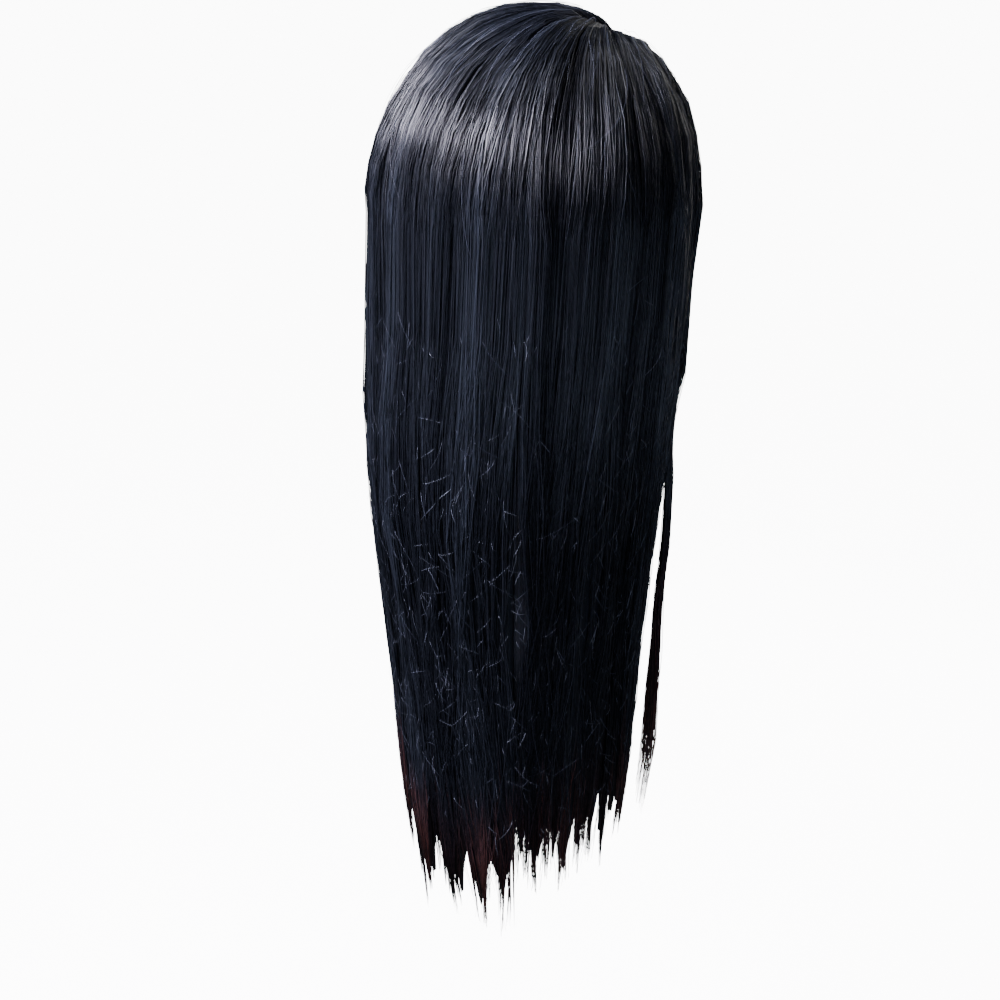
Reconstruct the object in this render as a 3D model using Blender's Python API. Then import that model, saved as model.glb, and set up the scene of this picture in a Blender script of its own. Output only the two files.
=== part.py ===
# Lace front wig: long straight hair with a side part, kept in the form that it has when worn.
# Metres, +Z up. The origin is where the top of the head bears inside the cap.
# The face looks along -Y, so the wearer's right is -X. Azimuths run from the face
# over the wearer's right (90), the back (180) and the left (270).

import math

import bmesh
import bpy
from mathutils import Vector

# Head that the cap fits, as half sizes at its widest level and the height of the crown above it
HEAD_HALF_WIDTH = 0.077
HEAD_HALF_DEPTH = 0.099
HEAD_CROWN_HEIGHT = 0.112
HEAD_FULLNESS = 2.0

CAP_WALL = 0.002
LACE_WALL = 0.001
CLEARANCE = 0.0003

# Thickness of the hair over the cap at the crown and at the widest level
CROWN_HAIR = 0.0145
SIDE_HAIR = 0.0270
BACK_HAIR = 0.0215
FRONT_HAIR = 0.0185
HAIR_FULLNESS = 2.10

# Hanging hair: drop from the widest level of the head to the longest tip, and wall thicknesses
HAIR_DROP = 0.545
CURTAIN_WALL = 0.010
TIP_WALL = 0.0025
BACKWARD_HANG = 0.0195
LOCK_RIDGE = 0.0016
TOOTH_DEPTH = 0.060
SHORTEST_TOOTH = 0.45
TOOTH_TURN = 2.4
TAPER_START = 0.35

# Side part, on the wearer's right, from the hairline to its back end
PART_OFFSET = 0.031
PART_BACK_END = -0.010
PART_WIDTH = 0.005
PART_HAIR = 0.0120
PART_SLOPE = 0.016
PART_LEAST_RISE = 0.04

# Strands aim above the level where they hang: share of the root's own rise, and the most rise
AIM_SHARE = 0.80
MOST_AIM = 0.85

# Front lock on the right: it swings out below one drop, and the side hair behind it draws in
LOCK_SWING = 0.0135
LOCK_WALL = 0.007
SWING_DROP = 0.150
SWING_RUN = 0.110
SPLIT_DROP = 0.160
SPLIT_RUN = 0.060
SPLIT_DEPTH = 0.0105
SPLIT_SPREAD = 34.0

# Under hair, sewn on the cap above its edge
UNDER_WALL = 0.006
UNDER_GAP = 0.002
UNDER_SEW_HEIGHT = 0.024
UNDER_DROP = 0.440
UNDER_RISE = 0.002
UNDER_MERGE_DROP = 0.110
UNDER_TOOTH_SHARE = 0.5

# Turns about the axis from ear to ear, in degrees from the face over the crown
HAIRLINE_TURN = 36.0
SEAM_TURN = 101.5
NAPE_TURN = 206.0
TAB_TURN = -22.0
LACE_SIDE = 74.0
TAB_SIDE = 66.0
TAB_HALF_WIDTH = 7.0
TAB_NARROWING = 0.85

HEAD_CENTRE = Vector((0.0, 0.0, -HEAD_CROWN_HEIGHT))
CAP_SURFACE = CAP_WALL + CLEARANCE

# Girth and backward shift of the hanging hair at shares of its drop
HANG_COLUMNS = ("drop", "girth", "shift")
HANG_PROFILE = (
    (0.00, 1.000, 0.10),
    (0.14, 0.992, 0.40),
    (0.26, 0.990, 0.80),
    (0.37, 0.966, 1.00),
    (0.46, 0.922, 1.00),
    (0.62, 0.872, 1.00),
    (0.80, 0.838, 1.00),
    (0.92, 0.790, 1.00),
    (1.00, 0.745, 1.00),
)

# Where the points of the hem end, as shares of the drop
HEM_COLUMNS = ("azimuth", "hem")
HEM = (
    (38.0, 0.930),
    (100.0, 0.955),
    (122.0, 0.945),
    (134.0, 0.915),
    (148.0, 0.935),
    (158.0, 1.000),
    (205.0, 0.995),
    (230.0, 0.955),
    (258.0, 0.920),
    (322.0, 0.900),
)

# Side edge of the cap: share of the way from the seam to the nape, and angle towards the ear
CAP_SIDE_COLUMNS = ("way", "side")
CAP_SIDE = ((0.00, 81.0), (0.45, 80.0), (0.72, 72.0), (0.88, 62.0), (1.00, 50.0))

# Pieces of the cap, as shares of the way across it and of the way from the seam to the nape
CAP_PIECE_COLUMNS = ("name", "across_from", "across_to", "along_from", "along_to", "columns", "rows")
CAP_PIECES = (
    ("cap_side_right", 0.00, 0.31, 0.00, 1.00, 8, 14),
    ("cap_crown", 0.31, 0.69, 0.00, 0.34, 10, 6),
    ("cap_nape", 0.31, 0.69, 0.34, 1.00, 10, 9),
    ("cap_side_left", 0.69, 1.00, 0.00, 1.00, 8, 14),
)

# Hairline: angle towards the ear and share of the hairline's turn at the middle
HAIRLINE_COLUMNS = ("side", "turn")
HAIRLINE = ((0.0, 1.00), (30.0, 1.04), (48.0, 1.02), (62.0, 0.72), (74.0, 0.58))

# Outer hair from the right of the face round the back to the left. Roots are shares of the
# root line, azimuths are where the section hangs, swing and split are the front lock's.
SECTION_COLUMNS = (
    "name", "root_from", "root_to", "azimuth_from", "azimuth_to", "locks", "swing", "split",
)
SECTIONS = (
    ("front_lock_right", 0.00, 0.07, 38.0, 46.5, 1, 1.0, 0.0),
    ("side_hair_right", 0.07, 0.38, 46.5, 100.0, 4, 0.0, 1.0),
    ("back_hair_right", 0.38, 0.47, 100.0, 150.0, 4, 0.0, 1.0),
    ("back_hair_centre", 0.47, 0.53, 150.0, 208.0, 5, 0.0, 0.0),
    ("back_hair_left", 0.53, 0.62, 208.0, 258.0, 4, 0.0, 0.0),
    ("side_hair_left", 0.62, 0.93, 258.0, 313.5, 5, 0.0, 0.0),
    ("front_lock_left", 0.93, 1.00, 313.5, 322.0, 1, 0.0, 0.0),
)
UNDER_COLUMNS = ("name", "azimuth_from", "azimuth_to", "locks")
UNDER_SECTIONS = (
    ("under_hair_right", 80.0, 128.0, 2),
    ("under_hair_back", 128.0, 232.0, 4),
    ("under_hair_left", 232.0, 280.0, 2),
)

# Grid divisions
COLUMNS_PER_LOCK = 4
ROOT_CROWDING = 1.35
SEAT_RISE = 0.6
OVER_CROWN_ROWS = 7
HANGING_ROWS = 9
UNDER_ROWS = 9
UNDER_CROWDING = 1.8
LACE_GRID = (20, 8)
TAB_GRID = (3, 4)
EDGE_STEP = 0.002

# Linear colour and roughness of each material
HAIR_LOOK = ((0.010, 0.011, 0.016), 0.38)
NET_LOOK = ((0.012, 0.012, 0.013), 0.85)
LACE_LOOK = ((0.22, 0.13, 0.08), 0.80)


def rows_of(columns, table):
    return [dict(zip(columns, row)) for row in table]


def smooth(share):
    share = min(max(share, 0.0), 1.0)
    return share * share * (3.0 - 2.0 * share)


def read_table(rows, key, value, at):
    # Value at a place between two rows, eased so that the profile has no corner.
    if at <= rows[0][key]:
        return rows[0][value]
    for low, high in zip(rows, rows[1:]):
        if at <= high[key]:
            share = smooth((at - low[key]) / (high[key] - low[key])) * 0.5
            share += 0.5 * (at - low[key]) / (high[key] - low[key])
            return low[value] + share * (high[value] - low[value])
    return rows[-1][value]


HANG = rows_of(HANG_COLUMNS, HANG_PROFILE)
CAP_SIDES = rows_of(CAP_SIDE_COLUMNS, CAP_SIDE)
HAIRLINE_ROWS = rows_of(HAIRLINE_COLUMNS, HAIRLINE)
HEM_ROWS = rows_of(HEM_COLUMNS, HEM)
CAP_PIECE_ROWS = rows_of(CAP_PIECE_COLUMNS, CAP_PIECES)
SECTION_ROWS = rows_of(SECTION_COLUMNS, SECTIONS)
UNDER_SECTION_ROWS = rows_of(UNDER_COLUMNS, UNDER_SECTIONS)


def make_material(name, colour, roughness):
    material = bpy.data.materials.new(name)
    material.use_nodes = True
    shader = material.node_tree.nodes["Principled BSDF"]
    shader.inputs["Base Color"].default_value = (*colour, 1.0)
    shader.inputs["Roughness"].default_value = roughness
    shader.inputs["Metallic"].default_value = 0.0
    material.diffuse_color = (*colour, 1.0)
    return material


def make_slab(name, columns, rows, place, material, collection):
    # A grid made into a slab by extruding it once. place gives each corner's position from
    # its share across, its share along and its layer, 0 for outside and 1 for inside.
    mesh = bpy.data.meshes.new(name)
    shape = bmesh.new()
    bmesh.ops.create_grid(shape, x_segments=columns, y_segments=rows, size=1.0)
    extruded = bmesh.ops.extrude_face_region(shape, geom=shape.faces[:])
    inside = {item for item in extruded["geom"] if isinstance(item, bmesh.types.BMVert)}
    for corner in shape.verts:
        across = (corner.co.x + 1.0) / 2.0
        along = (corner.co.y + 1.0) / 2.0
        corner.co = place(across, along, 1.0 if corner in inside else 0.0)
    bmesh.ops.recalc_face_normals(shape, faces=shape.faces[:])
    if shape.calc_volume(signed=True) < 0.0:
        bmesh.ops.reverse_faces(shape, faces=shape.faces[:])
    shape.to_mesh(mesh)
    shape.free()
    for face in mesh.polygons:
        face.use_smooth = True
    solid = bpy.data.objects.new(name, mesh)
    mesh.materials.append(material)
    collection.objects.link(solid)
    return solid


def round_radius(direction, half_width, half_depth, height, power):
    total = abs(direction.x / half_width) ** power
    total += abs(direction.y / half_depth) ** power
    total += abs(direction.z / height) ** power
    return total ** (-1.0 / power)


def head_radius(direction):
    return round_radius(direction, HEAD_HALF_WIDTH, HEAD_HALF_DEPTH, HEAD_CROWN_HEIGHT, HEAD_FULLNESS)


def hair_radius(direction):
    # Distance from the head's centre to the outside of the full hair.
    thickness_ahead = FRONT_HAIR if direction.y < 0.0 else BACK_HAIR
    return round_radius(
        direction,
        HEAD_HALF_WIDTH + CAP_WALL + SIDE_HAIR,
        HEAD_HALF_DEPTH + CAP_WALL + thickness_ahead,
        HEAD_CROWN_HEIGHT + CAP_WALL + CROWN_HAIR,
        HAIR_FULLNESS,
    )


def head_direction(turn, side):
    # Direction from the head's centre: turn runs from the face over the crown to the nape,
    # side runs towards the wearer's left ear.
    turn = math.radians(turn)
    side = math.radians(side)
    forward = -math.cos(side) * math.cos(turn)
    return Vector((math.sin(side), forward, math.cos(side) * math.sin(turn)))


def level_direction(azimuth):
    angle = math.radians(azimuth)
    return Vector((-math.sin(angle), -math.cos(angle), 0.0))


def on_head(direction, height):
    return HEAD_CENTRE + direction * (head_radius(direction) + height)


def degrees_for(length, radius):
    return math.degrees(length / radius)


def hairline_turn(side):
    return HAIRLINE_TURN * read_table(HAIRLINE_ROWS, "side", "turn", abs(side))


def stepped_back(at):
    # Moves both side faces of a slab in by half the clearance from the edge that it shares.
    def place(across, along, layer):
        if across in (0.0, 1.0):
            inward = EDGE_STEP if across < 0.5 else -EDGE_STEP
            width = (at(across + inward, along, layer) - at(across, along, layer)).length
            across += inward * CLEARANCE / max(width, CLEARANCE)
        return at(across, along, layer)

    return place


def cap_place(piece):
    # A piece of the cap. The seam with the lace and the seams between pieces are half clear.
    seam = SEAM_TURN + degrees_for(CLEARANCE / 2.0, HEAD_CROWN_HEIGHT)
    half_gap = CLEARANCE / 2.0 / (HEAD_CROWN_HEIGHT * math.radians(NAPE_TURN - seam))
    low = piece["along_from"] + (half_gap if piece["along_from"] > 0.0 else 0.0)
    high = piece["along_to"] - (half_gap if piece["along_to"] < 1.0 else 0.0)

    def at(across, along, layer):
        along = low + along * (high - low)
        across = piece["across_from"] + across * (piece["across_to"] - piece["across_from"])
        turn = seam + along * (NAPE_TURN - seam)
        side = (2.0 * across - 1.0) * read_table(CAP_SIDES, "way", "side", along)
        return on_head(head_direction(turn, side), CAP_WALL * (1.0 - layer))

    return stepped_back(at)


def lace_place(across, along, layer):
    side = (2.0 * across - 1.0) * LACE_SIDE
    reach = head_radius(head_direction(SEAM_TURN, side)) * math.cos(math.radians(side))
    seam = SEAM_TURN - degrees_for(CLEARANCE / 2.0, reach)
    start = hairline_turn(side)
    return on_head(head_direction(start + along * (seam - start), side), CAP_WALL - LACE_WALL * layer)


def tab_place(mirror):
    # Tongue of the cap in front of the ear, rounded off towards its lower end.
    def place(across, along, layer):
        narrowing = math.sqrt(1.0 - (TAB_NARROWING * along) ** 2)
        side = TAB_SIDE + (2.0 * across - 1.0) * TAB_HALF_WIDTH * narrowing
        reach = HEAD_HALF_WIDTH * math.cos(math.radians(side))
        top = hairline_turn(side) - degrees_for(CLEARANCE, reach)
        turn = top + along * (TAB_TURN - top)
        return on_head(head_direction(turn, mirror * side), CAP_WALL * (1.0 - layer))

    return place


def part_direction(backward, aside):
    # Direction to a point beside the part, from its plan position on the head.
    across = (-PART_OFFSET + aside) / HEAD_HALF_WIDTH
    back = backward / HEAD_HALF_DEPTH
    up = math.sqrt(max(1.0 - across**2 - back**2, PART_LEAST_RISE)) * HEAD_CROWN_HEIGHT
    return Vector((across * HEAD_HALF_WIDTH, backward, up)).normalized()


def part_front():
    # Where the part meets the hairline, from the hairline's turn beside the part.
    direction = head_direction(HAIRLINE_TURN, -math.degrees(math.asin(PART_OFFSET / HEAD_HALF_DEPTH)))
    return (direction * head_radius(direction)).y


def root_direction(share):
    # The root line runs along the right of the part, round its back end and along its left.
    straight = PART_BACK_END - part_front()
    bend = math.pi * PART_WIDTH / 2.0
    way = share * (2.0 * straight + bend)
    half = PART_WIDTH / 2.0
    if way < straight:
        return part_direction(part_front() + way, -half)
    if way > straight + bend:
        return part_direction(PART_BACK_END - (way - straight - bend), half)
    angle = math.pi * (way - straight) / bend
    return part_direction(PART_BACK_END + half * math.sin(angle), -half * math.cos(angle))


def over_crown(root_share, azimuth, way):
    # Direction of a strand between its root and the level where it starts to hang. It leaves
    # the root towards a point above its end, so that it arrives there straight down.
    start = root_direction(root_share)
    end = level_direction(azimuth)
    rise = min(AIM_SHARE * start.z + 1.0 - AIM_SHARE, MOST_AIM)
    middle = end * math.sqrt(1.0 - rise**2) + Vector((0.0, 0.0, rise))
    bowed = start * (1.0 - way) ** 2 + middle * (2.0 * way * (1.0 - way)) + end * way**2
    return bowed.normalized()


def curtain_point(azimuth, drop, inset, swing, split):
    # Point on the hanging hair at a drop below the widest level of the head.
    share = drop / HAIR_DROP
    girth = read_table(HANG, "drop", "girth", share)
    shift = BACKWARD_HANG * read_table(HANG, "drop", "shift", share)
    start = BACKWARD_HANG * HANG[0]["shift"]
    direction = level_direction(azimuth)
    radius = hair_radius(direction) * girth - inset
    nearness = smooth(1.0 - (azimuth - SECTION_ROWS[1]["azimuth_from"]) / SPLIT_SPREAD)
    radius -= split * SPLIT_DEPTH * nearness * smooth((drop - SPLIT_DROP) / SPLIT_RUN)
    radius += swing * LOCK_SWING * smooth((drop - SWING_DROP) / SWING_RUN)
    return HEAD_CENTRE + direction * radius + Vector((0.0, (shift - start), -drop))


def hem_drop(row, across, azimuth):
    # The lower end of a lock: a point between two notches. Points are of uneven length, and
    # notches follow one line, so that neighbours end alike at their shared edge.
    phase = across * row["locks"]
    lock = min(int(phase), row["locks"] - 1)
    short = SHORTEST_TOOTH * abs(math.sin(TOOTH_TURN * lock + row["azimuth_from"]))
    notch = abs(2.0 * (phase - lock) - 1.0)
    hem = HAIR_DROP * read_table(HEM_ROWS, "azimuth", "hem", azimuth)
    return hem - TOOTH_DEPTH * (short + (1.0 - short) * notch)


def lock_bulge(row, across):
    return math.cos(2.0 * math.pi * (across * row["locks"] - 0.5))


def hair_place(row):
    # A section of outer hair: from its roots at the part over the crown, then hanging.
    crown_share = OVER_CROWN_ROWS / (OVER_CROWN_ROWS + HANGING_ROWS)

    def at(across, along, layer):
        root = row["root_from"] + across * (row["root_to"] - row["root_from"])
        azimuth = row["azimuth_from"] + across * (row["azimuth_to"] - row["azimuth_from"])
        bulge = LOCK_RIDGE * lock_bulge(row, across) * (1.0 - layer)
        if along <= crown_share:
            way = (along / crown_share) ** ROOT_CROWDING
            direction = over_crown(root, azimuth, way)
            full = hair_radius(direction) - head_radius(direction)
            travelled = direction.angle(root_direction(root)) * HEAD_CROWN_HEIGHT
            lift = PART_HAIR + smooth(travelled / PART_SLOPE) * (full - PART_HAIR) + bulge * way
            seat = CAP_SURFACE + way**SEAT_RISE * (full - CURTAIN_WALL - CAP_SURFACE)
            height = lift if layer < 0.5 else min(seat, lift - TIP_WALL)
            return on_head(direction, height)
        fallen = (along - crown_share) / (1.0 - crown_share)
        drop = fallen * hem_drop(row, across, azimuth)
        thick = CURTAIN_WALL + row["swing"] * (LOCK_WALL - CURTAIN_WALL) * smooth(drop / SWING_DROP)
        tapered = smooth((drop / HAIR_DROP - TAPER_START) / (1.0 - TAPER_START))
        wall = thick + (TIP_WALL - thick) * tapered
        inset = wall * layer - bulge * (1.0 + fallen)
        return curtain_point(azimuth, drop, inset, row["swing"], row["split"])

    return stepped_back(at)


def under_place(row):
    # Hair sewn on the cap above its edge, lying inside the outer hair.
    def at(across, along, layer):
        azimuth = row["azimuth_from"] + across * (row["azimuth_to"] - row["azimuth_from"])
        phase = across * row["locks"]
        notch = abs(2.0 * (phase - min(int(phase), row["locks"] - 1)) - 1.0)
        fall = UNDER_SEW_HEIGHT + UNDER_DROP - notch * TOOTH_DEPTH * UNDER_TOOTH_SHARE
        drop = along**UNDER_CROWDING * fall - UNDER_SEW_HEIGHT
        wall = UNDER_WALL + (TIP_WALL - UNDER_WALL) * smooth(drop / UNDER_DROP)
        level = level_direction(azimuth)
        rise = max(-drop, 0.0) / HEAD_CROWN_HEIGHT
        seat = CAP_SURFACE + UNDER_RISE * min((drop + UNDER_SEW_HEIGHT) / UNDER_SEW_HEIGHT, 1.0)
        on_cap = head_radius(level) * math.sqrt(1.0 - rise**2) + seat + wall * (1.0 - layer)
        sewn = HEAD_CENTRE + level * on_cap + Vector((0.0, 0.0, -drop))
        inset = CURTAIN_WALL + UNDER_GAP + wall * layer
        hanging = curtain_point(azimuth, max(drop, 0.0), inset, 0.0, 1.0)
        hanging.z = sewn.z
        return sewn.lerp(hanging, smooth(drop / UNDER_MERGE_DROP))

    return stepped_back(at)


def main():
    for item in list(bpy.data.objects):
        bpy.data.objects.remove(item, do_unlink=True)
    wig = bpy.data.collections.new("lace_front_wig")
    bpy.context.scene.collection.children.link(wig)

    hair = make_material("black_hair", *HAIR_LOOK)
    net = make_material("cap_net", *NET_LOOK)
    lace = make_material("lace", *LACE_LOOK)

    for piece in CAP_PIECE_ROWS:
        make_slab(piece["name"], piece["columns"], piece["rows"], cap_place(piece), net, wig)
    make_slab("lace_front", *LACE_GRID, lace_place, lace, wig)
    make_slab("ear_tab_right", *TAB_GRID, tab_place(-1.0), net, wig)
    make_slab("ear_tab_left", *TAB_GRID, tab_place(1.0), net, wig)
    for row in SECTION_ROWS:
        columns = COLUMNS_PER_LOCK * row["locks"]
        make_slab(row["name"], columns, OVER_CROWN_ROWS + HANGING_ROWS, hair_place(row), hair, wig)
    for row in UNDER_SECTION_ROWS:
        columns = COLUMNS_PER_LOCK * row["locks"]
        make_slab(row["name"], columns, UNDER_ROWS, under_place(row), hair, wig)


main()
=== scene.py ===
import math
import bpy
import numpy as np
from mathutils import Matrix


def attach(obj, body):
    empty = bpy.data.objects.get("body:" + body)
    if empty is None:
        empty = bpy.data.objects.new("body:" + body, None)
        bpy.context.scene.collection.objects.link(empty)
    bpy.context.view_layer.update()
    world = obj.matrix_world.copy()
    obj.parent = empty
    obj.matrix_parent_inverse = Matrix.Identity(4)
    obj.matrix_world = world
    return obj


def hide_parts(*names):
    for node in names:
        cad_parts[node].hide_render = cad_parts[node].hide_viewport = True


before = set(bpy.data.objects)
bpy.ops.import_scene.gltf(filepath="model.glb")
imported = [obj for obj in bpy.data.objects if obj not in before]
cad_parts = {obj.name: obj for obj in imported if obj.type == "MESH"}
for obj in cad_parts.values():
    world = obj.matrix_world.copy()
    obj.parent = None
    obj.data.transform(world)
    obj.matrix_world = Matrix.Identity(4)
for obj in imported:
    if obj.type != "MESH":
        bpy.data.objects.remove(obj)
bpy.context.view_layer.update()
print("frame loaded")

# Metres. The origin is where the top of the head bears inside the cap, the face looks along -Y.
# Azimuths run from the face over the wearer's right (90), the back (180) and the left (270).
draw = np.random.default_rng(28)

head = dict(halfWidth=0.077, halfDepth=0.099, crown=0.112, capWall=0.002)
form = dict(
    crownHair=0.0145, sideHair=0.0270, backHair=0.0215, frontHair=0.0185, fullness=2.10,
    drop=0.545, backwardHang=0.0195,
    partOffset=0.031, partBackEnd=-0.010, partFront=-0.0762, partWidth=0.0028,
    partHair=0.0128, partSlope=0.018,
    lockSwing=0.0135, swingDrop=0.150, swingRun=0.110,
    lockEndSwing=0.0055, lockEndDrop=0.30, lockEndRun=0.16,
    splitDrop=0.135, splitRun=0.060, splitDepth=0.0130, splitSpread=28.0, splitAzimuth=46.5,
)

# Hanging hair: girth and backward shift at shares of its drop
hangDrop = np.array([0.00, 0.14, 0.26, 0.37, 0.46, 0.62, 0.80, 0.92, 1.00])
hangGirth = np.array([1.000, 0.992, 0.990, 0.966, 0.922, 0.872, 0.838, 0.790, 0.745])
hangShift = np.array([0.10, 0.40, 0.80, 1.00, 1.00, 1.00, 1.00, 1.00, 1.00])

# Where the points of the hem end, as shares of the drop
hemAzimuth = np.array([38.0, 100.0, 122.0, 134.0, 148.0, 158.0, 205.0, 230.0, 258.0, 322.0])
hemShare = np.array([0.975, 0.955, 0.980, 0.950, 0.970, 1.042, 1.030, 0.935, 0.890, 0.920])

# Sections: the node each stands for, the azimuths it hangs between, and its number of strands
sections = [
    dict(node="front_lock_right", start=38.0, end=46.5, strands=420, overCrown=8),
    dict(node="side_hair_right", start=46.5, end=100.0, strands=1450, overCrown=9),
    dict(node="back_hair_right", start=100.0, end=150.0, strands=1400, overCrown=10),
    dict(node="back_hair_centre", start=150.0, end=208.0, strands=1560, overCrown=12),
    dict(node="back_hair_left", start=208.0, end=258.0, strands=1200, overCrown=14),
    dict(node="side_hair_left", start=258.0, end=313.5, strands=1200, overCrown=14),
    dict(node="front_lock_left", start=313.5, end=322.0, strands=260, overCrown=14),
]
# Root line shares at the sections' edges: along the right of the part, round its end, along its left
edgeAzimuth = np.array([38.0, 46.5, 100.0, 150.0, 208.0, 258.0, 313.5, 322.0])
edgeRoot = np.array([0.00, 0.07, 0.38, 0.47, 0.53, 0.62, 0.93, 1.00])
underSections = [
    dict(node="under_hair_right", start=80.0, end=128.0, strands=170),
    dict(node="under_hair_back", start=128.0, end=232.0, strands=380),
    dict(node="under_hair_left", start=232.0, end=280.0, strands=170),
]


def smooth(share):
    # eases from 0 to 1, flat at both ends
    share = np.clip(share, 0.0, 1.0)
    return share * share * (3.0 - 2.0 * share)


def readTable(places, values, at):
    # value between two rows, half straight and half eased
    at = np.clip(at, places[0], places[-1])
    row = np.clip(np.searchsorted(places, at, side="right") - 1, 0, len(places) - 2)
    share = (at - places[row]) / (places[row + 1] - places[row])
    share = 0.5 * share + 0.5 * smooth(share)
    return values[row] + share * (values[row + 1] - values[row])


def unit(vectors):
    # the same directions, one long
    return vectors / np.maximum(np.linalg.norm(vectors, axis=-1, keepdims=True), 1e-9)


def roundRadius(direction, halfWidth, halfDepth, height, power):
    # distance from the head's centre to a rounded box with these half sizes
    total = np.abs(direction[..., 0] / halfWidth) ** power
    total += np.abs(direction[..., 1] / halfDepth) ** power
    total += np.abs(direction[..., 2] / height) ** power
    return total ** (-1.0 / power)


def headRadius(direction):
    # distance from the head's centre to its surface, an ellipsoid
    return roundRadius(direction, head["halfWidth"], head["halfDepth"], head["crown"], 2.0)


def hairRadius(direction):
    # distance to the hair's outside: head, cap and the hair's thickness, as a rounded box
    ahead = np.where(direction[..., 1] < 0.0, form["frontHair"], form["backHair"])
    width = head["halfWidth"] + head["capWall"] + form["sideHair"]
    depth = head["halfDepth"] + head["capWall"] + ahead
    height = head["crown"] + head["capWall"] + form["crownHair"]
    return roundRadius(direction, width, depth, height, form["fullness"])


def levelDirection(azimuth):
    # level direction: minus the sine and cosine of the azimuth
    angle = np.radians(azimuth)
    return np.stack([-np.sin(angle), -np.cos(angle), np.zeros_like(angle)], axis=-1)


def rootDirection(share):
    # direction to the root line: along the right of the part, round its back end, along its left
    straight = form["partBackEnd"] - form["partFront"]
    half = form["partWidth"] / 2.0
    bend = math.pi * half
    way = share * (2.0 * straight + bend)
    angle = math.pi * np.clip((way - straight) / bend, 0.0, 1.0)
    aside = -half * np.cos(angle)
    back = form["partBackEnd"] + half * np.sin(angle)
    back = np.where(way < straight, form["partFront"] + way, back)
    back = np.where(way > straight + bend, form["partBackEnd"] - (way - straight - bend), back)
    across = (aside - form["partOffset"]) / head["halfWidth"]
    up = np.sqrt(np.maximum(1.0 - across**2 - (back / head["halfDepth"]) ** 2, 0.04)) * head["crown"]
    return unit(np.stack([across * head["halfWidth"], back, up], axis=-1))


def overCrown(rootShare, azimuth, way):
    # quadratic curve of directions: from the root towards a point above the end, then straight down
    start = rootDirection(rootShare)
    end = levelDirection(azimuth)
    rise = np.minimum(0.80 * start[..., 2] + 0.20, 0.85)
    middle = end * np.sqrt(1.0 - rise**2)[..., None]
    middle[..., 2] += rise
    bowed = start * (1.0 - way) ** 2 + middle * (2.0 * way * (1.0 - way)) + end * way**2
    return unit(bowed), start


def crownPoint(rootShare, azimuth, way, inset, seatInset):
    # point over the crown: full hair height away from the part, less beside it, less the inset
    direction, start = overCrown(rootShare, azimuth, way)
    reach = headRadius(direction)
    full = hairRadius(direction) - reach
    travelled = np.arccos(np.clip((direction * start).sum(-1), -1.0, 1.0)) * head["crown"]
    lift = form["partHair"] + smooth(travelled / form["partSlope"]) * (full - form["partHair"])
    height = np.maximum(lift - inset, head["capWall"] + seatInset)
    point = direction * (reach + height)[..., None]
    point[..., 2] -= head["crown"]
    return point


def hangPoint(azimuth, drop, inset):
    # Point on the hanging hair: the widest section of the hair, drawn in and moved back as it
    # falls. The right front lock swings out from the side hair, which lies deeper beside it.
    share = drop / form["drop"]
    direction = levelDirection(azimuth)
    radius = hairRadius(direction) * readTable(hangDrop, hangGirth, share) - inset
    isLock = (azimuth < form["splitAzimuth"]) * 1.0
    radius += isLock * form["lockEndSwing"] * smooth((drop - form["lockEndDrop"]) / form["lockEndRun"])
    near = (1.0 - isLock) * smooth(1.0 - (azimuth - form["splitAzimuth"]) / form["splitSpread"])
    radius -= form["splitDepth"] * near * smooth((drop - form["splitDrop"]) / form["splitRun"])
    radius += isLock * form["lockSwing"] * smooth((drop - form["swingDrop"]) / form["swingRun"])
    shift = form["backwardHang"] * (readTable(hangDrop, hangShift, share) - hangShift[0])
    point = direction * radius[..., None]
    point[..., 1] += shift
    point[..., 2] -= head["crown"] + drop
    return point


def hemDrop(azimuth):
    # how far the hem lies below the crown's widest line: the drop times the table's share
    return form["drop"] * readTable(hemAzimuth, hemShare, azimuth)


def ownMesh(name, points, quads, triangles, uv=None, material=None):
    # a mesh object from arrays: corners, four-sided and three-sided faces, and one UV pair a corner
    mesh = bpy.data.meshes.new(name)
    loops = np.concatenate([quads.reshape(-1), triangles.reshape(-1)]).astype(np.int32)
    sizes = np.concatenate([np.full(len(quads), 4), np.full(len(triangles), 3)]).astype(np.int32)
    starts = np.concatenate([[0], np.cumsum(sizes)[:-1]]).astype(np.int32)
    mesh.vertices.add(len(points))
    mesh.vertices.foreach_set("co", points.astype(np.float32).reshape(-1))
    mesh.loops.add(len(loops))
    mesh.loops.foreach_set("vertex_index", loops)
    mesh.polygons.add(len(sizes))
    mesh.polygons.foreach_set("loop_start", starts)
    mesh.polygons.foreach_set("use_smooth", np.ones(len(sizes), bool))
    if uv is not None:
        layer = mesh.uv_layers.new(name="OFBake")
        layer.data.foreach_set("uv", uv[loops].astype(np.float32).reshape(-1))
    mesh.update(calc_edges=True)
    mesh.validate()
    piece = bpy.data.objects.new(name, mesh)
    bpy.context.scene.collection.objects.link(piece)
    if material is not None:
        mesh.materials.append(material)
    return piece


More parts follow.
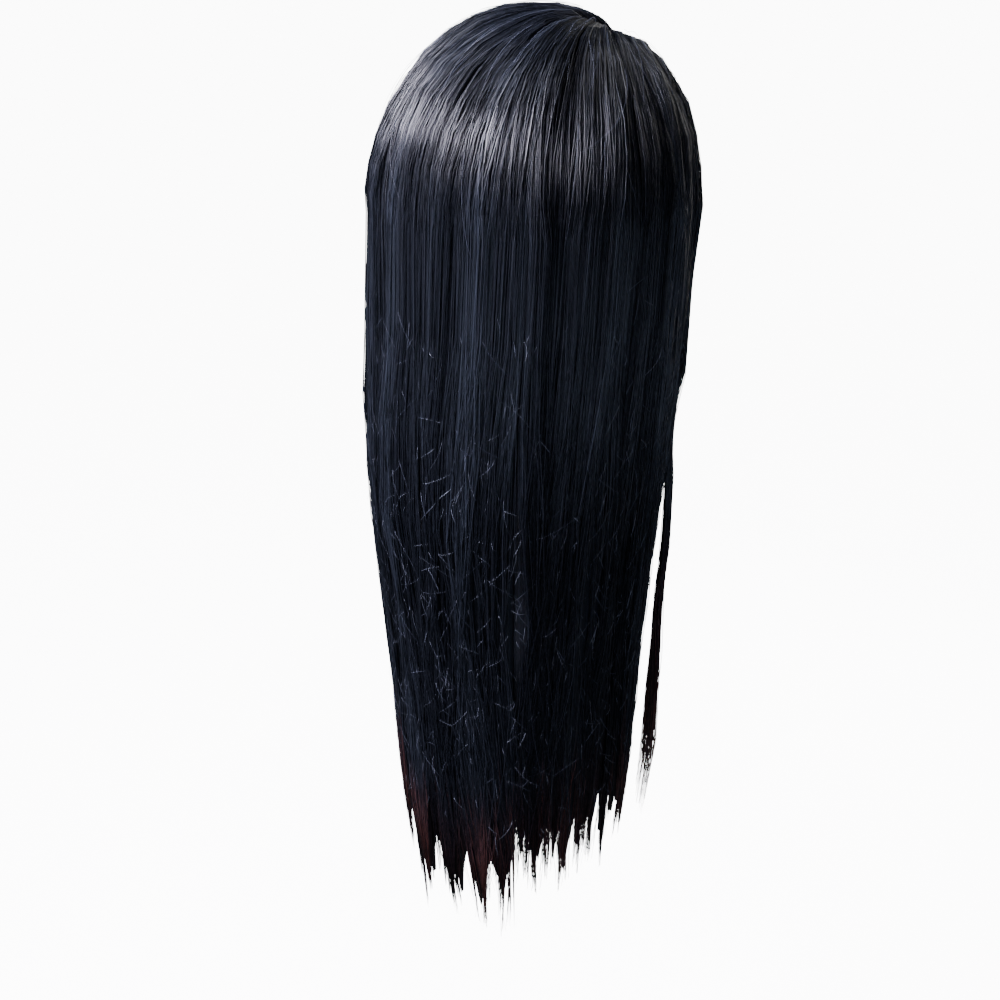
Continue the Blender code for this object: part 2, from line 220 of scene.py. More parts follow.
def tubes(paths, radii, ids, sides=3, outward=None):
    # round tubes: a ring of corners square to each path at each of its points, joined ring to ring
    # and closed by a cap at both ends
    count, length = paths.shape[:2]
    along = unit(np.gradient(paths, axis=1))
    if outward is None:
        centre = np.zeros_like(paths)
        centre[..., 2] = np.minimum(paths[..., 2], -head["crown"])
        outward = paths - centre
    aside = unit(np.cross(along, outward))
    out = np.cross(aside, along)
    turn = draw.uniform(0.0, 2.0 * math.pi, count)[:, None, None]
    angle = turn + (np.arange(sides) * 2.0 * math.pi / sides)[None, None, :]
    ring = np.cos(angle)[..., None] * out[:, :, None, :]
    ring = ring + np.sin(angle)[..., None] * aside[:, :, None, :]
    points = paths[:, :, None, :] + ring * radii[:, :, None, None]
    index = np.arange(count * length * sides).reshape(count, length, sides)
    nextSide = np.roll(index, -1, axis=2)
    quads = np.stack([index[:, :-1], nextSide[:, :-1], nextSide[:, 1:], index[:, 1:]], axis=-1)
    quads = quads.reshape(-1, 4)
    first = index[:, 0, ::-1]
    last = index[:, -1]
    fan = np.stack([np.zeros(sides - 2, int), np.arange(1, sides - 1), np.arange(2, sides)], axis=-1)
    caps = np.concatenate([first[:, fan].reshape(-1, 3), last[:, fan].reshape(-1, 3)])
    uv = np.empty((count, length, sides, 2))
    uv[..., 0] = ids[:, None, None]
    uv[..., 1] = np.linspace(0.0, 1.0, length)[None, :, None]
    return points.reshape(-1, 3), quads, caps, uv.reshape(-1, 2)


def facesOut(points, quads, triangles):
    # turns every face round if the closed surface's volume comes out negative
    corners = np.concatenate([quads[:, [0, 1, 2]], quads[:, [0, 2, 3]], triangles])
    a, b, c = points[corners[:, 0]], points[corners[:, 1]], points[corners[:, 2]]
    if np.einsum("ij,ij->i", a, np.cross(b, c)).sum() < 0.0:
        return quads[:, ::-1], triangles[:, ::-1]
    return quads, triangles


def linear(hexColour):
    # sRGB hex to linear RGBA
    value = [int(hexColour[i:i + 2], 16) / 255.0 for i in (1, 3, 5)]
    value = [v / 12.92 if v <= 0.04045 else ((v + 0.055) / 1.055) ** 2.4 for v in value]
    return (*value, 1.0)


def joinInto(tree, node, links):
    for name, source in links.items():
        tree.links.new(source, node.inputs[name])


def addNode(tree, kind, settings=None, values=None, links=None, stops=()):
    # one shader node with its settings, fixed sockets and links, and the stops of a colour ramp
    node = tree.nodes.new(kind)
    for name, value in (settings or {}).items():
        setattr(node, name, value)
    for name, value in (values or {}).items():
        node.inputs[name].default_value = value
    joinInto(tree, node, links or {})
    while stops and len(node.color_ramp.elements) < len(stops):
        node.color_ramp.elements.new(0.5)
    for number, (place, colour) in enumerate(stops):
        node.color_ramp.elements[number].position = place
        node.color_ramp.elements[number].color = linear(colour)
    return node


def newMaterial(name, **sockets):
    # a material whose shader has these fixed sockets, an underscore standing for a space
    material = bpy.data.materials.new(name)
    material.use_nodes = True
    shader = material.node_tree.nodes["Principled BSDF"]
    for socket, value in sockets.items():
        shader.inputs[socket.replace("_", " ")].default_value = value
    return material, material.node_tree, shader


eased = {"interpolation_type": "SMOOTHSTEP"}
ownMap = {"uv_map": "OFBake"}  # X tells strands apart, Y runs from the root to the end
# Fibre colours: near black, with a blue cast that is painted cool light.
fibre = dict(
    # tip colours: red-brown painted light shining through the thin ends from behind
    root="#15181f", dark="#0b0d12", pale="#272c36", tip="#2b1519", tipEnd="#935448",
    dullest=0.10, glossiest=0.90, shineFrom=0.01, shineTo=0.11, shadedRootShine=0.06,
    roughTo=0.13, rootRoughness=0.85, roughness=0.32, index=1.55, tipsFrom=0.915, lockBacklitFrom=0.74,
)


def fibreMaterial(name, tipsFrom):
    # Glossy heat-drawn synthetic fibre: nearly black, its blue cast painted cool light, each strand and
    # lock a little lighter and glossier or darker and duller, dull at the root with its shine dimmed there
    # as painted shade, and thin ends coloured red-brown as painted light shining through them from behind.
    # Colour: ramp over strands, blended along the strand into the ramp of the painted backlit ends. Shine:
    # share by strand times an eased rise out of the painted shade at the root. Roughness: eased fall from
    # the root.
    material, tree, shader = newMaterial(name, IOR=fibre["index"])
    place = addNode(tree, "ShaderNodeUVMap", ownMap)
    parts = addNode(tree, "ShaderNodeSeparateXYZ", links={"Vector": place.outputs["UV"]})
    strand, along = parts.outputs["X"], parts.outputs["Y"]
    body = addNode(
        tree, "ShaderNodeValToRGB", links={"Fac": strand},
        stops=[(0.0, fibre["dark"]), (0.6, fibre["root"]), (1.0, fibre["pale"])],
    )
    # ramp of the thin ends: red-brown painted light shining through them from behind
    backlitEnds = addNode(
        tree, "ShaderNodeValToRGB", links={"Fac": strand},
        stops=[(0.0, fibre["dark"]), (0.5, fibre["tip"]), (1.0, fibre["tipEnd"])],
    )
    share = addNode(
        tree, "ShaderNodeMapRange", eased, {"From Min": tipsFrom, "From Max": 1.0}, {"Value": along}
    )
    mix = addNode(
        tree, "ShaderNodeMix", {"data_type": "RGBA"},
        links={"Factor": share.outputs["Result"], "A": body.outputs["Color"], "B": backlitEnds.outputs["Color"]},
    )
    gloss = addNode(
        tree, "ShaderNodeMapRange", None, {"To Min": fibre["dullest"], "To Max": fibre["glossiest"]},
        {"Value": strand},
    )
    # shine eased down towards the root: painted shade where the roots lie under the hair
    rootShadeRise = addNode(
        tree, "ShaderNodeMapRange", eased,
        {"From Min": fibre["shineFrom"], "From Max": fibre["shineTo"], "To Min": fibre["shadedRootShine"]},
        {"Value": along},
    )
    rough = addNode(
        tree, "ShaderNodeMapRange", eased,
        {"From Max": fibre["roughTo"], "To Min": fibre["rootRoughness"], "To Max": fibre["roughness"]},
        {"Value": along},
    )
    shine = addNode(
        tree, "ShaderNodeMath", {"operation": "MULTIPLY"},
        links={0: gloss.outputs["Result"], 1: rootShadeRise.outputs["Result"]},
    )
    joinInto(tree, shader, {
        "Base Color": mix.outputs["Result"], "Specular IOR Level": shine.outputs["Value"],
        "Roughness": rough.outputs["Result"],
    })
    return material


packed = dict(
    sectionMm=84.0, streakMm=0.4, lengthMm=600.0, streakLongMm=240.0, backlitEndsFrom=0.90,
    # the red-brown end ramp is painted light shining through the thin ends near the hem
    body=((0.40, "#010203"), (0.60, "#191d27")), backlitEnds=((0.38, "#040203"), (0.62, "#1f1113")),
    bump=0.9, relief=0.0009,
)


def massMaterial():
    # The packed fibre under the top strands: the same black fibre, in shade. Colour: noise drawn
    # out along the hair, in two ramps, the red-brown one near the hem being painted light shining through
    # the thin ends. Bump: the same noise.
    # A streak stands for a few fibres, because one fibre of 0.08 mm is too fine to show.
    material, tree, shader = newMaterial("fibre_mass", Roughness=0.48, IOR=1.45)
    place = addNode(tree, "ShaderNodeUVMap", ownMap)
    parts = addNode(tree, "ShaderNodeSeparateXYZ", links={"Vector": place.outputs["UV"]})
    across = packed["sectionMm"] / packed["streakMm"]
    down = packed["lengthMm"] / packed["streakLongMm"]
    stretch = addNode(
        tree, "ShaderNodeMapping", None, {"Scale": (across, down, 1.0)}, {"Vector": place.outputs["UV"]}
    )
    streaks = addNode(
        tree, "ShaderNodeTexNoise", values={"Scale": 1.0, "Detail": 4.0},
        links={"Vector": stretch.outputs["Vector"]},
    )
    height = streaks.outputs["Fac"]
    body = addNode(tree, "ShaderNodeValToRGB", links={"Fac": height}, stops=packed["body"])
    backlitEnds = addNode(tree, "ShaderNodeValToRGB", links={"Fac": height}, stops=packed["backlitEnds"])
    share = addNode(
        tree, "ShaderNodeMapRange", eased, {"From Min": packed["backlitEndsFrom"], "From Max": 1.0},
        {"Value": parts.outputs["Y"]},
    )
    mix = addNode(
        tree, "ShaderNodeMix", {"data_type": "RGBA"},
        links={"Factor": share.outputs["Result"], "A": body.outputs["Color"], "B": backlitEnds.outputs["Color"]},
    )
    bump = addNode(
        tree, "ShaderNodeBump", None, {"Strength": packed["bump"], "Distance": packed["relief"]},
        {"Height": height},
    )
    joinInto(tree, shader, {"Base Color": mix.outputs["Result"], "Normal": bump.outputs["Normal"]})
    return material


def looseMaterial():
    # Single fibres that catch the light: the same fibre, coloured pale as painted light because nothing
    # shades it.
    # Colour: ramp over fibres.
    material, tree, shader = newMaterial("loose_fibre", Roughness=0.45, IOR=1.6)
    place = addNode(tree, "ShaderNodeUVMap", ownMap)
    parts = addNode(tree, "ShaderNodeSeparateXYZ", links={"Vector": place.outputs["UV"]})
    colour = addNode(
        tree, "ShaderNodeValToRGB", links={"Fac": parts.outputs["X"]},
        stops=[(0.0, "#2c303b"), (0.6, "#616675"), (1.0, "#9da2b0")],
    )
    joinInto(tree, shader, {"Base Color": colour.outputs["Color"]})
    return material


fibreGloss = fibreMaterial("synthetic_fibre", fibre["tipsFrom"])
fibreLock = fibreMaterial("synthetic_fibre_thin_lock", fibre["lockBacklitFrom"])
fibreMass = massMaterial()
fibreLoose = looseMaterial()
print("hair materials")


def clumpEdges(start, end, low, high):
    # edges of side-by-side clumps of random width that fill a stretch of azimuth
    edges = [start]
    while edges[-1] < end:
        edges.append(edges[-1] + draw.uniform(low, high))
    edges = np.array(edges)
    return start + (edges - start) * (end - start) / (edges[-1] - start)


def toneAt(azimuth):
    # broad soft bands of glossier and duller hair that run on from section to section
    angle = np.radians(azimuth)
    return 0.5 + 0.24 * np.sin(angle * 9.0 + 1.3) + 0.26 * np.sin(angle * 23.0 + 4.0)


def inClump(edges, azimuth):
    # the clump that holds an azimuth, its middle, and the place in it from -1 to 1
    index = np.clip(np.searchsorted(edges, azimuth, side="right") - 1, 0, len(edges) - 2)
    middle = (edges[index] + edges[index + 1]) / 2.0
    half = (edges[index + 1] - edges[index]) / 2.0
    return index, middle, (azimuth - middle) / half


strandLook = dict(
    hangPoints=8, radius=0.00027, tipRadius=0.00010, thinnest=0.75, thickest=1.25,
    lockLow=6.5, lockHigh=12.5, clumpLow=0.4, clumpHigh=2.6,
    lockRelief=0.0015, clumpRelief=0.0003, depth=0.0032, depthPower=1.4, sunk=0.0008, seat=0.0016,
    fuzz=0.0005, lockRound=0.0008, clumpRound=0.00025, atCrown=0.35,
    sway=0.0040, clumpSway=0.0028, ownSway=0.0015, swayGirth=0.10, swayStart=1.6,
    swayWaves=5.0, clumpSwayWaves=9.0, ownSwayWaves=13.0, rootSpread=0.004,
    strayShare=0.09, strayFactor=4.0, strayLift=0.0012, strayLow=0.2, strayHigh=1.5,
    crownWobble=0.45, crownStray=2.4, crownRun=0.16, crownSweep=2.2, crownWaves=7.0,
    lockWave=0.0012, lockWaveRun=0.085, clumpWave=0.0005, clumpWaveRun=0.045,
    waveStart=0.06, waveFrom=0.4, waveRun=0.3, waveLoss=0.6,
    lockUneven=0.017, pointing=0.047, pointPower=1.3, clumpUneven=0.025, clumpPointing=0.007,
    ragged=0.060, raggedPower=4.0, spread=0.008, spreadPower=1.5, depthLoss=3.0, taper=0.10,
    taperPower=0.7, toClump=0.62, clumpRise=1.1, clumpFirst=0.1,
    toLock=0.42, lockStart=0.60, lockPower=1.3, loose=0.30, held=0.8,
    thinFrom=0.35, thinRun=0.65, thinLoss=0.6, past=0.6, ownTone=0.42,
)
# The thin right front lock is drawn together at its top, looser and more ragged at its end
sideLook = dict(
    ragged=0.130, raggedPower=1.8, lock=0.30, lockFrom=0.12, lockRun=0.36,
    lockLoss=0.7, lossFrom=0.55, lossRun=0.20, draw=0.43, drawFrom=0.04, drawRun=0.22,
    freeFrom=0.60, freeRun=0.18, sway=2.5, swayWaves=11.0, swayFrom=0.58, swayRun=0.2, apart=0.01,
)


def strandPaths(section, locks):
    # Each strand runs from its root over the crown and down. It draws towards the middle of its
    # clump and its lock as it falls, so that locks end in points, and lies deeper the further it
    # is from the middle, so that each lock is rounded.
    look, side = strandLook, sideLook
    isLock = section["node"] == "front_lock_right"
    count = section["strands"]
    azimuth = draw.uniform(section["start"], section["end"], count)
    clumps = clumpEdges(section["start"], section["end"], look["clumpLow"], look["clumpHigh"])
    lock, lockMiddle, lockOff = inClump(locks["edges"], azimuth)
    clump, clumpMiddle, clumpOff = inClump(clumps, azimuth)
    stray = (draw.uniform(0.0, 1.0, count) < look["strayShare"]) * 1.0

    lift = locks["lift"][lock] + draw.uniform(-1.0, 1.0, len(clumps))[clump] * look["clumpRelief"]
    depth = draw.uniform(0.0, 1.0, count) ** look["depthPower"] * look["depth"] * (1.0 - stray)
    rounded = look["lockRound"] * lockOff**2 + look["clumpRound"] * clumpOff**2
    strayLift = stray * look["strayLift"] * draw.uniform(look["strayLow"], look["strayHigh"], count)
    inset = depth + rounded - lift - strayLift + draw.normal(0.0, look["fuzz"], count)
    wavePhase = draw.uniform(0.0, 2.0 * math.pi, len(clumps))[clump][:, None]

    def standOff(run):
        # slow waves of whole locks and of clumps, which tilt the fibres and break up the highlight
        lockTurn = locks["phase"][lock][:, None] + 2.0 * math.pi * run / look["lockWaveRun"]
        clumpTurn = wavePhase + 2.0 * math.pi * run / look["clumpWaveRun"]
        wave = look["lockWave"] * np.sin(lockTurn) + look["clumpWave"] * np.sin(clumpTurn)
        lost = look["waveLoss"] * smooth((run - look["waveFrom"]) / look["waveRun"])
        return wave * smooth(run / look["waveStart"]) * (1.0 - lost)

    torn = side if isLock else look
    ragged = draw.uniform(0.0, 1.0, count) ** torn["raggedPower"] * torn["ragged"]
    uneven = look["clumpUneven"] * draw.uniform(0.0, 1.0, len(clumps))[clump] ** 2
    length = locks["hem"][lock] - look["pointing"] * np.abs(lockOff) ** look["pointPower"]
    length = length - uneven - look["clumpPointing"] * np.abs(clumpOff)
    spread = look["spread"] * draw.uniform(0.0, 1.0, count) ** look["spreadPower"]
    length = length - look["depthLoss"] * depth - ragged - spread

    crownWay = np.linspace(0.0, 1.0, section["overCrown"])
    hangWay = np.linspace(0.0, 1.0, look["hangPoints"] + 1)[1:]
    rootShare = np.interp(azimuth, edgeAzimuth, edgeRoot) + draw.normal(0.0, look["rootSpread"], count)
    rootShare = np.clip(rootShare, 0.0, 1.0)

    shape = (count, len(crownWay))
    sweep = np.sin(locks["phase"][lock])[:, None] * look["crownSweep"]
    sweep = sweep * np.sin(crownWay * math.pi)[None, :]
    wobble = look["crownWobble"] * (1.0 + look["crownStray"] * stray)[:, None]
    phase = draw.uniform(0.0, 2.0 * math.pi, count)[:, None]
    turned = np.sin(phase + crownWay[None, :] * look["crownWaves"]) - np.sin(phase + look["crownWaves"])
    sweep = sweep + wobble * turned
    grown = look["atCrown"] + (1.0 - look["atCrown"]) * crownWay
    crown = crownPoint(
        np.broadcast_to(rootShare[:, None], shape), azimuth[:, None] + sweep,
        np.broadcast_to(crownWay[None, :, None], (*shape, 1)),
        inset[:, None] * grown[None, :] + look["sunk"] * (1.0 - crownWay)[None, :]
        - standOff(crownWay[None, :] * look["crownRun"]), look["seat"],
    )
    drop = hangWay[None, :] * length[:, None]
    level = drop / form["drop"]
    held = (draw.uniform(0.0, 1.0, count) > look["loose"])[:, None] * look["held"] + 1.0 - look["held"]
    toClump = look["toClump"] * smooth(level * look["clumpRise"] + look["clumpFirst"]) * held
    gathered = smooth((level - look["lockStart"]) / (1.0 - look["lockStart"])) ** look["lockPower"]
    toLock = look["toLock"] * gathered
    if isLock:
        lost = side["lockLoss"] * smooth((level - side["lossFrom"]) / side["lossRun"])
        toLock = side["lock"] * smooth((level - side["lockFrom"]) / side["lockRun"]) * (1.0 - lost)
    fanned = azimuth[:, None] + (clumpMiddle - azimuth)[:, None] * toClump
    fanned = fanned - (fanned - lockMiddle[:, None]) * toLock

    def swayOf(phase, waves):
        return np.sin(phase[:, None] + level * waves) - np.sin(phase)[:, None]

    ownPhase = draw.uniform(0.0, 2.0 * math.pi, count)
    clumpPhase = draw.uniform(0.0, 2.0 * math.pi, len(clumps))[clump]
    swing = look["sway"] * swayOf(locks["phase"][lock], look["swayWaves"])
    swing = swing + look["clumpSway"] * swayOf(clumpPhase, look["clumpSwayWaves"])
    ownSway = look["ownSway"] * swayOf(ownPhase, look["ownSwayWaves"])
    swing += ownSway * (1.0 + look["strayFactor"] * stray)[:, None]
    fanned = fanned + np.degrees(swing / look["swayGirth"]) * smooth(level * look["swayStart"])
    fanned = np.clip(fanned, section["start"] - look["past"], section["end"] + look["past"])
    if isLock:
        mostOut = form["splitAzimuth"] - side["apart"]
        aside = side["draw"] * smooth((level - side["drawFrom"]) / side["drawRun"])
        aside = aside * (1.0 - smooth((level - side["freeFrom"]) / side["freeRun"]))
        fanned = np.minimum(fanned, mostOut)
        fanned = fanned - (fanned - section["start"]) * aside
        own = swayOf(ownPhase, side["swayWaves"]) * smooth((level - side["swayFrom"]) / side["swayRun"])
        fanned = np.minimum(fanned + side["sway"] * own, mostOut)
    if section["node"] == "side_hair_right":
        fanned = np.maximum(fanned, form["splitAzimuth"] + side["apart"])
    wallShare = 1.0 - look["thinLoss"] * smooth((level - look["thinFrom"]) / look["thinRun"])
    hangInset = inset[:, None] * wallShare - standOff(look["crownRun"] + drop)
    paths = np.concatenate([crown, hangPoint(fanned, drop, hangInset)], axis=1)

    run = np.linspace(0.0, 1.0, paths.shape[1])[None, :]
    taper = np.clip((1.0 - run) / look["taper"], 0.0, 1.0) ** look["taperPower"]
    size = draw.uniform(look["thinnest"], look["thickest"], count)[:, None] * look["radius"]
    radii = look["tipRadius"] + (size - look["tipRadius"]) * taper
    return paths, radii, toneAt(azimuth)


def makeLocks(section):
    # the locks of a section: edges, how far each stands out, where it ends and how it sways
    look = strandLook
    edges = clumpEdges(section["start"], section["end"], look["lockLow"], look["lockHigh"])
    count = len(edges) - 1
    middle = (edges[1:] + edges[:-1]) / 2.0
    return dict(
        edges=edges,
        lift=draw.uniform(-1.0, 1.0, count) * look["lockRelief"],
        hem=hemDrop(middle) + draw.uniform(-1.2, 0.6, count) * look["lockUneven"],
        phase=draw.uniform(0.0, 2.0 * math.pi, count),
    )


massLook = dict(
    columns=5, crownRows=14, hangRows=26, layers=((0.0042, 0.0016), (0.0088, 0.0006)), rowPower=1.2,
    shortBy=0.040, pointing=0.050, narrowing=0.45, narrowStart=0.68, clear=0.15, edge=0.97,
    thin=0.22, thinFrom=0.3, thinRun=0.6, relief=0.7,
    sideShort=0.292, sideClear=5.2, sidePointing=0.120,
)


def slab(name, outer, inner, material):
    # a closed wall between two grids of corners with the same rows and columns
    rows, columns = outer.shape[:2]
    points = np.concatenate([outer.reshape(-1, 3), inner.reshape(-1, 3)])
    index = np.arange(rows * columns).reshape(rows, columns)
    other = index + rows * columns
    front = np.stack([index[:-1, :-1], index[1:, :-1], index[1:, 1:], index[:-1, 1:]], axis=-1)
    back = np.stack([other[:-1, :-1], other[:-1, 1:], other[1:, 1:], other[1:, :-1]], axis=-1)
    edge = np.concatenate([index[0, :-1], index[:-1, -1], index[-1, :0:-1], index[:0:-1, 0]])
    after = np.roll(edge, -1)
    rim = np.stack([edge, after, after + rows * columns, edge + rows * columns], axis=-1)
    quads = np.concatenate([front.reshape(-1, 4), back.reshape(-1, 4), rim])
    quads, triangles = facesOut(points, quads, np.zeros((0, 3), int))
    u, v = np.meshgrid(np.linspace(0.0, 1.0, columns), np.linspace(0.0, 1.0, rows))
    uv = np.concatenate([np.stack([u, v], -1).reshape(-1, 2)] * 2)
    return ownMesh(name, points, quads, triangles, uv, material)


def hairPiece(piece, node=None):
    # a piece of hair moves with the wig and stands for its CAD node where one is named
    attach(piece, "root")
    if node:
        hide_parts(node)
    return piece


def massPiece(section, locks):
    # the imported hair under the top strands, a wall that ends in one point under each lock
    look = massLook
    isLock = section["node"] == "front_lock_right"
    clear = look["sideClear"] if isLock else look["clear"]
    short = look["sideShort"] if isLock else look["shortBy"]
    pointing = look["sidePointing"] if isLock else look["pointing"]
    edges = locks["edges"]
    share = np.linspace(0.0, 1.0, look["columns"])[:-1]
    azimuth = (edges[:-1, None] + share[None, :] * (edges[1:] - edges[:-1])[:, None]).reshape(-1)
    azimuth = np.append(azimuth, edges[-1])
    azimuth = np.clip(azimuth, section["start"] + look["clear"], section["end"] - clear)
    lock, middle, off = inClump(edges, azimuth)
    rootShare = np.interp(azimuth, edgeAzimuth, edgeRoot)
    shape = (look["crownRows"], len(azimuth))
    way = (np.linspace(0.0, 1.0, look["crownRows"]) ** look["rowPower"])[:, None, None]
    length = locks["hem"][lock] - short - pointing * np.abs(off)
    # neighbours share one notch between them
    notch = np.minimum(length, np.minimum(np.roll(length, 1), np.roll(length, -1)))
    length = np.where(np.abs(off) > look["edge"], notch, length)
    layers = []
    for inset, seat in look["layers"]:
        crown = crownPoint(
            np.broadcast_to(rootShare, shape), np.broadcast_to(azimuth, shape),
            np.broadcast_to(way, (*shape, 1)), np.full(shape, inset), seat,
        )
        drop = np.linspace(0.0, 1.0, look["hangRows"] + 1)[1:, None] * length[None, :]
        level = drop / form["drop"]
        thin = 1.0 - look["thin"] * smooth((level - look["thinFrom"]) / look["thinRun"])
        drawn = look["narrowing"] * smooth((level - look["narrowStart"]) / (1.0 - look["narrowStart"]))
        drawn = drawn * (np.abs(off) < look["edge"])[None, :]
        drawnAzimuth = azimuth[None, :] - (azimuth - middle)[None, :] * drawn
        hanging = hangPoint(drawnAzimuth, drop, inset * thin - locks["lift"][lock] * look["relief"])
        layers.append(np.concatenate([crown, hanging], axis=0))
    return hairPiece(slab(section["node"] + "_mass", *layers, fibreMass), section["node"])


def strandPiece(name, paths, radii, ids, material):
    # one piece of many thin tubes
    points, quads, caps, uv = tubes(paths, radii, ids)
    quads, caps = facesOut(points, quads, caps)
    return hairPiece(ownMesh(name, points, quads, caps, uv, material))


for section in sections:
    locks = makeLocks(section)
    massPiece(section, locks)
    paths, radii, tone = strandPaths(section, locks)
    ownTone = strandLook["ownTone"]
    ids = ownTone * draw.uniform(0.0, 1.0, len(paths)) + (1.0 - ownTone) * tone
    material = fibreLock if section["node"] == "front_lock_right" else fibreGloss
    strandPiece(section["node"] + "_strands", paths, radii, ids, material)
print("top hair")


underLook = dict(
    sewHeight=0.024, drop=0.440, merge=0.110, gap=0.018, stand=0.0010,
    massOuter=0.0045, massInner=0.0012, massShort=0.07, massUneven=0.09, massRows=20, rowPower=1.5,
    massClear=0.2, columnsPerDegree=0.5,
    points=10, radius=0.00050, tipRadius=0.0001, thinnest=0.8, thickest=1.2, taper=0.2, taperPower=0.7,
    clumpLow=2.0, clumpHigh=5.0, pointing=0.04, uneven=0.13, pointPower=1.2, toClump=0.6,
    wave=0.6, waves=9.0, innerShare=0.65, outerRow=0.0052,
)


def underPoint(azimuth, drop, inset):
    # hair sewn on the cap: it leaves the cap's outside and joins the inside of the top hair
    level = levelDirection(azimuth)
    rise = np.maximum(-drop, 0.0) / head["crown"]
    onCap = headRadius(level) * np.sqrt(1.0 - rise**2) + head["capWall"]
    onCap = onCap + underLook["stand"] + inset
    sewn = level * onCap[..., None]
    sewn[..., 2] -= head["crown"] + drop
    hanging = hangPoint(azimuth, np.maximum(drop, 0.0), underLook["gap"] - inset)
    hanging[..., 2] = sewn[..., 2]
    share = smooth(drop / underLook["merge"])[..., None]
    return sewn * (1.0 - share) + hanging * share


def underMass(section):
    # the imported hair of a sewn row: a wall from the cap down to an uneven edge
    look = underLook
    columns = int((section["end"] - section["start"]) * look["columnsPerDegree"]) + 1
    first, last = section["start"] + look["massClear"], section["end"] - look["massClear"]
    azimuth = np.linspace(first, last, columns)
    fall = look["sewHeight"] + look["drop"] - look["massShort"]
    fall = fall - draw.uniform(0.0, look["massUneven"], columns)
    share = (np.linspace(0.0, 1.0, look["massRows"]) ** look["rowPower"])[:, None]
    drop = share * fall[None, :] - look["sewHeight"]
    flat = np.broadcast_to(azimuth, drop.shape)
    outer = underPoint(flat, drop, np.full(drop.shape, look["massOuter"]))
    inner = underPoint(flat, drop, np.full(drop.shape, look["massInner"]))
    return hairPiece(slab(section["node"] + "_mass", outer, inner, fibreMass), section["node"])


def underStrands(section):
    # strands of a sewn row, on both sides of its packed hair, drawn into clumps with slow waves
    look = underLook
    count = section["strands"]
    azimuth = draw.uniform(section["start"], section["end"], count)
    clumps = clumpEdges(section["start"], section["end"], look["clumpLow"], look["clumpHigh"])
    _, middle, off = inClump(clumps, azimuth)
    fall = look["sewHeight"] + look["drop"] - look["pointing"] * np.abs(off)
    fall = fall - draw.uniform(0.0, 1.0, count) ** 2 * look["uneven"]
    share = np.linspace(0.0, 1.0, look["points"])[None, :] ** look["pointPower"]
    drop = share * fall[:, None] - look["sewHeight"]
    drawn = azimuth[:, None] + (middle - azimuth)[:, None] * look["toClump"] * smooth(share)
    phase = draw.uniform(0.0, 6.28, count)[:, None]
    wave = np.sin(phase + share * look["waves"]) * look["wave"] * smooth(share)
    inset = np.where(draw.uniform(0.0, 1.0, count) < look["innerShare"], 0.0, look["outerRow"])[:, None]
    paths = underPoint(drawn + wave, drop, np.broadcast_to(inset, drop.shape))
    taper = np.clip((1.0 - share) / look["taper"], 0.0, 1.0) ** look["taperPower"]
    size = draw.uniform(look["thinnest"], look["thickest"], count)[:, None] * look["radius"]
    radii = look["tipRadius"] + (size - look["tipRadius"]) * taper
    return strandPiece(
        section["node"] + "_strands", paths, radii, draw.uniform(0.0, 1.0, count), fibreGloss
    )


for section in underSections:
    underMass(section)
    underStrands(section)
print("under hair")


looseLook = dict(
    count=1350, radius=0.00010, shortest=0.005, longest=0.026, lengthPower=1.8, points=5,
    top=0.015, bottom=0.450, heap=(1.9, 1.5), lowest=56.0, highest=300.0, girth=0.09,
    curl=0.35, heading=0.50, clear=0.0015, off=0.0026, archLow=0.4, archHigh=0.9,
    paintedLightFrom=225.0, paintedLightRun=75.0, ownTone=0.45,
)


def looseFibres():
    # broken ends that stand off the hanging hair in short curls, most of them at its middle
    look = looseLook
    count = look["count"]
    azimuth = draw.uniform(look["lowest"], look["highest"], count)
    drop = look["top"] + (look["bottom"] - look["top"]) * draw.beta(*look["heap"], count)
    longer = draw.uniform(0.0, 1.0, count) ** look["lengthPower"]
    length = look["shortest"] + (look["longest"] - look["shortest"]) * longer
    heading = draw.normal(0.0, look["heading"], count)
    heading = heading + np.where(draw.uniform(0.0, 1.0, count) < 0.5, 0.0, math.pi)
    bend = draw.normal(0.0, look["curl"], count)
    share = np.linspace(0.0, 1.0, look["points"])[None, :]
    angle = heading[:, None] + bend[:, None] * share
    step = length[:, None] / (look["points"] - 1)
    fall = np.cumsum(np.cos(angle) * step, axis=1)
    aside = np.cumsum(np.sin(angle) * step, axis=1)
    arch = np.sin(share * math.pi * draw.uniform(look["archLow"], look["archHigh"], count)[:, None])
    off = look["clear"] * draw.uniform(0.0, 1.0, count)[:, None]
    off = off + look["off"] * draw.uniform(-0.1, 1.0, count)[:, None] * arch
    paths = hangPoint(azimuth[:, None] + np.degrees(aside / look["girth"]), drop[:, None] + fall, -off)
    radii = look["radius"] * (1.0 - 0.5 * share) * draw.uniform(0.7, 1.3, count)[:, None]
    # fibres on the side away from the window get paler colours, painted light so they show as in plain
    # daylight
    paintedLight = smooth((look["paintedLightFrom"] - azimuth) / look["paintedLightRun"])
    ids = look["ownTone"] * draw.uniform(0.0, 1.0, count) + (1.0 - look["ownTone"]) * paintedLight
    return paths, radii, ids


flyLook = dict(
    count=110, radius=0.00013, points=9, lowest=50.0, highest=310.0, shortest=0.12, longest=0.45,
    startLow=0.05, startHigh=0.75, drift=7.0, least=0.0008, most=0.0034, endFall=0.15, palest=0.6,
)


